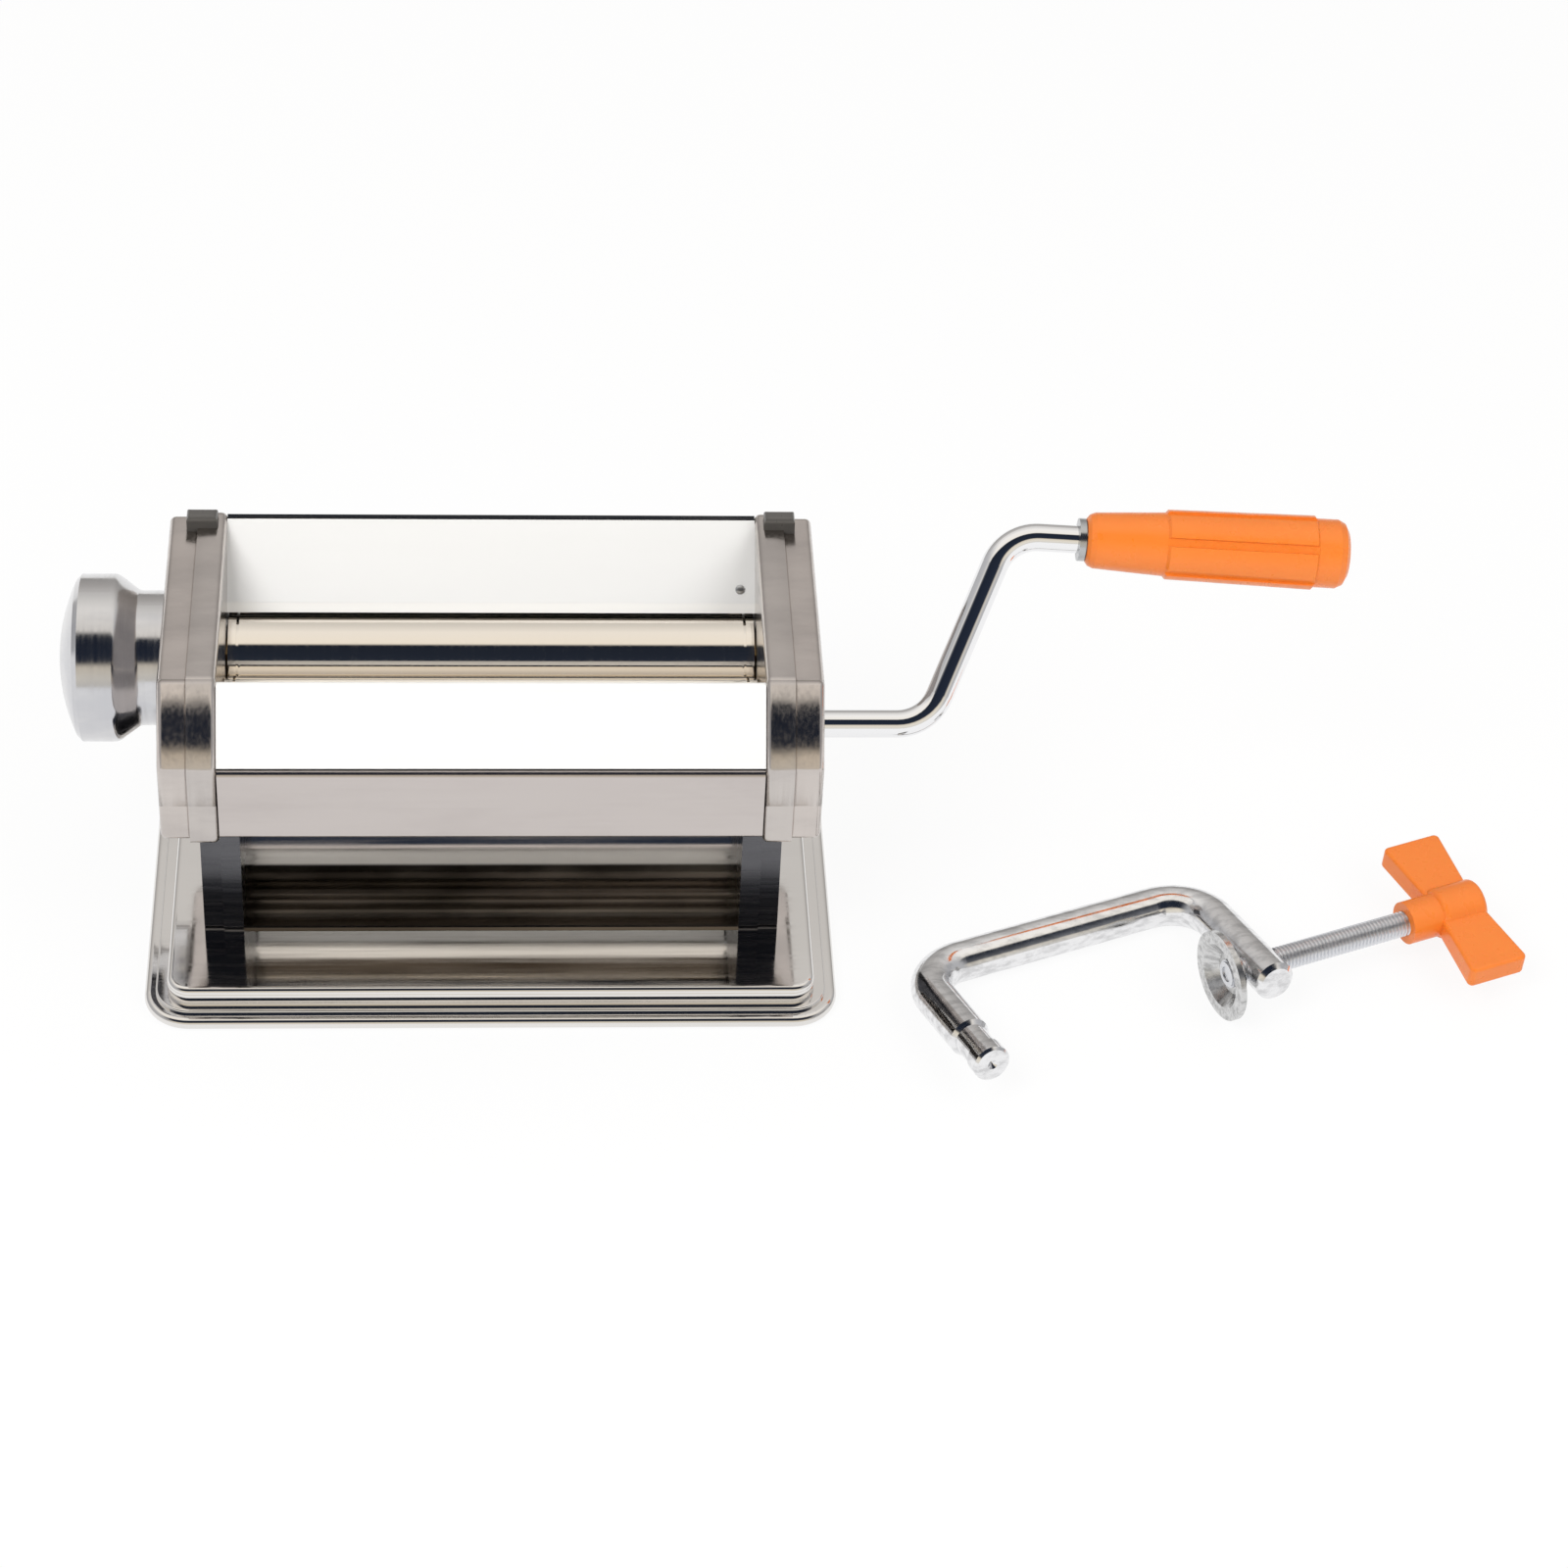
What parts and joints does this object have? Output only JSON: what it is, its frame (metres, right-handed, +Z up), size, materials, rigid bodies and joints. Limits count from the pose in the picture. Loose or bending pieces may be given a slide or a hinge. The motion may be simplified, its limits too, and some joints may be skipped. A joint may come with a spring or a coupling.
{
  "type": "pasta roller machine",
  "caption": "Hand-cranked pasta roller machine: polished side housings on a pressed base, geared rollers, thickness knob, bent crank with grip, and a loose screw clamp.",
  "frame": {"origin": "on the table under the centre of the base", "axes": "+X along the rollers towards the crank, +Y from front to back, +Z up"},
  "size_m": [0.4492, 0.1641, 0.1314],
  "materials": {
    "polished_sheet": "mirror polished stainless sheet",
    "polished_roller": "ground and polished roller",
    "machined_steel": "plain machined steel",
    "bronze_bush": "sintered bronze",
    "scraper_plastic": "plain white plastic blade",
    "dark_steel": "blackened steel",
    "turned_aluminium": "turned and polished",
    "chrome_bar": "chrome plated bar",
    "zinc_steel": "zinc plated",
    "orange_plastic": "moulded orange plastic",
    "foot_rubber": "matt"
  },
  "bodies": {
    "frame": {"base_plate": "polished_sheet", "base_screws": "machined_steel", "rubber_feet": "foot_rubber", "right_leg": "polished_sheet", "left_leg": "polished_sheet", "right_side_frame": "polished_sheet", "left_side_frame": "polished_sheet", "right_outer_cover": "polished_sheet", "left_outer_cover": "polished_sheet", "right_accessory_lug": "dark_steel", "left_accessory_lug": "dark_steel", "front_panel": "polished_sheet", "front_skirt": "polished_sheet", "hopper_plate": "polished_sheet", "rear_cover": "polished_sheet", "chute_plate": "polished_sheet", "rear_sill": "polished_sheet", "clamp_socket": "machined_steel", "tie_rods": "machined_steel", "front_scraper": "scraper_plastic", "rear_scraper": "scraper_plastic", "right_front_bush": "bronze_bush", "left_front_bush": "bronze_bush"},
    "drive_roller": {"front_roller": "polished_roller", "front_shaft": "machined_steel", "front_gear": "machined_steel"},
    "carriage": {"right_rear_bush": "bronze_bush", "left_rear_bush": "bronze_bush", "right_carriage_arm": "machined_steel", "left_carriage_arm": "machined_steel", "carriage_rod": "machined_steel"},
    "rear_roller_set": {"rear_roller": "polished_roller", "rear_shaft": "machined_steel", "rear_gear": "machined_steel"},
    "regulator": {"regulator_spindle": "machined_steel", "thickness_knob": "turned_aluminium"},
    "crank": {"crank_rod": "chrome_bar", "grip_collar": "chrome_bar"},
    "grip": {"crank_grip": "orange_plastic"},
    "clamp": {"clamp_bar": "chrome_bar"},
    "clamp_pad": {"pressure_disc": "zinc_steel"},
    "clamp_wing": {"clamp_screw": "zinc_steel", "wing_knob": "orange_plastic"}
  },
  "joints": [
    {"name": "roller_drive", "type": "hinge", "parent": "frame", "child": "drive_roller", "pos_m": [0, -0.01525, 0.0803], "axis": [1, 0, 0], "continuous": true},
    {"name": "gap_slide", "type": "slide", "parent": "frame", "child": "carriage", "axis": [0, -1, 0], "range_m": [0, 0.0023]},
    {"name": "rear_roller_turn", "type": "hinge", "parent": "carriage", "child": "rear_roller_set", "pos_m": [0, 0.01525, 0.0803], "axis": [1, 0, 0], "continuous": true},
    {"name": "regulator_turn", "type": "hinge", "parent": "frame", "child": "regulator", "pos_m": [-0.11, 0.01525, 0.0803], "axis": [1, 0, 0], "range_deg": [0, 180]},
    {"name": "crank_pull", "type": "slide", "parent": "drive_roller", "child": "crank", "axis": [1, 0, 0], "range_m": [0, 0.024]},
    {"name": "grip_spin", "type": "hinge", "parent": "crank", "child": "grip", "pos_m": [0.17947, 0.02205, 0.12173], "axis": [0.9986, -0.035, -0.0389], "continuous": true},
    {"name": "clamp_lift", "type": "slide", "parent": "frame", "child": "clamp", "axis": [0, 0, 1], "range_m": [0, 0.1]},
    {"name": "pad_feed", "type": "slide", "parent": "clamp", "child": "clamp_pad", "axis": [-0.9336, -0.3584, 0], "range_m": [0, 0.036]},
    {"name": "clamp_turn", "type": "hinge", "parent": "clamp_pad", "child": "clamp_wing", "pos_m": [0.22739, -0.05538, 0.0145], "axis": [-0.9336, -0.3584, 0], "range_deg": [0, 10368]}
  ],
  "couplings": [
    {"joint": "rear_roller_turn", "follows": "roller_drive", "ratio": -1},
    {"joint": "regulator_turn", "follows": "gap_slide", "rad_per_m": 1365.9},
    {"joint": "clamp_turn", "follows": "pad_feed", "rad_per_m": 5026.5}
  ]
}
